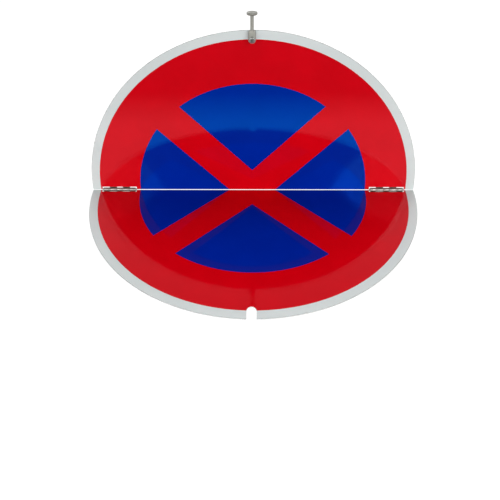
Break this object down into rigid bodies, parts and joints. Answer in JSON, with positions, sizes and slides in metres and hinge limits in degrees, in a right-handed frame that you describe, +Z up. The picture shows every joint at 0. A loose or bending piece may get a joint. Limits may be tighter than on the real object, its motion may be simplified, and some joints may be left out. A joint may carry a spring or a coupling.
{
  "type": "folding road sign",
  "caption": "Round no-stopping road sign of sheet metal that folds across its middle on hinges, standing half open, with a turning latch at its top edge.",
  "frame": {"origin": "on the ground, under the centre of the standing sign's box", "axes": "+X along the hinge axis, to the right as seen from the printed faces; -Y towards the viewer, where the lower half lies; +Z up"},
  "size_m": [0.6, 0.3378, 0.3353],
  "materials": {
    "aluminium_sheet": "chromated rolled sheet, matte grey",
    "white_film": "retroreflective film, faintly cool white",
    "red_film": "glossy transparent red over retroreflective film",
    "blue_film": "glossy transparent blue over retroreflective film",
    "hinge_steel": "lightly brushed stainless sheet",
    "rivet_steel": "formed stainless",
    "turned_steel": "turned and milled",
    "zinc_plated_steel": "bright zinc plate",
    "label_white": "printed label, bare of text",
    "label_clear": "clear sticker over grey sheet",
    "label_yellow": "plain yellow print"
  },
  "bodies": {
    "lower_half": {"lower_panel": "aluminium_sheet", "lower_rim_film_left": "white_film", "lower_rim_film_right": "white_film", "lower_red_film": "red_film", "lower_blue_film_left": "blue_film", "lower_blue_film_middle": "blue_film", "lower_blue_film_right": "blue_film", "hinge_leaf_lower_left": "hinge_steel", "hinge_leaf_lower_right": "hinge_steel", "hinge_pin_left": "hinge_steel", "hinge_pin_right": "hinge_steel", "rivet_lower_left_outer": "rivet_steel", "rivet_lower_left_inner": "rivet_steel", "rivet_lower_left_middle": "rivet_steel", "rivet_lower_right_outer": "rivet_steel", "rivet_lower_right_inner": "rivet_steel", "rivet_lower_right_middle": "rivet_steel", "data_label": "label_white", "clear_label": "label_clear", "yellow_strip": "label_yellow"},
    "upper_half": {"upper_panel": "aluminium_sheet", "upper_rim_film": "white_film", "upper_red_film": "red_film", "upper_blue_film_left": "blue_film", "upper_blue_film_middle": "blue_film", "upper_blue_film_right": "blue_film", "hinge_leaf_upper_left": "hinge_steel", "hinge_leaf_upper_right": "hinge_steel", "rivet_upper_left_outer": "rivet_steel", "rivet_upper_left_inner": "rivet_steel", "rivet_upper_left_middle": "rivet_steel", "rivet_upper_right_outer": "rivet_steel", "rivet_upper_right_inner": "rivet_steel", "rivet_upper_right_middle": "rivet_steel", "latch_sleeve": "turned_steel", "latch_screw": "zinc_plated_steel", "latch_washer": "zinc_plated_steel", "latch_back_washer": "zinc_plated_steel", "latch_nut": "zinc_plated_steel"},
    "latch": {"latch_arm": "turned_steel", "latch_knob": "turned_steel"}
  },
  "joints": [
    {"name": "fold", "type": "hinge", "parent": "lower_half", "child": "upper_half", "pos_m": [0, 0.13093, 0.00394], "axis": [1, 0, 0], "range_deg": [-83.95, 96.05]},
    {"name": "latch_turn", "type": "hinge", "parent": "upper_half", "child": "latch", "pos_m": [0, 0.14845, 0.29254], "axis": [0, -0.9949, 0.1006], "range_deg": [-180, 180]}
  ]
}
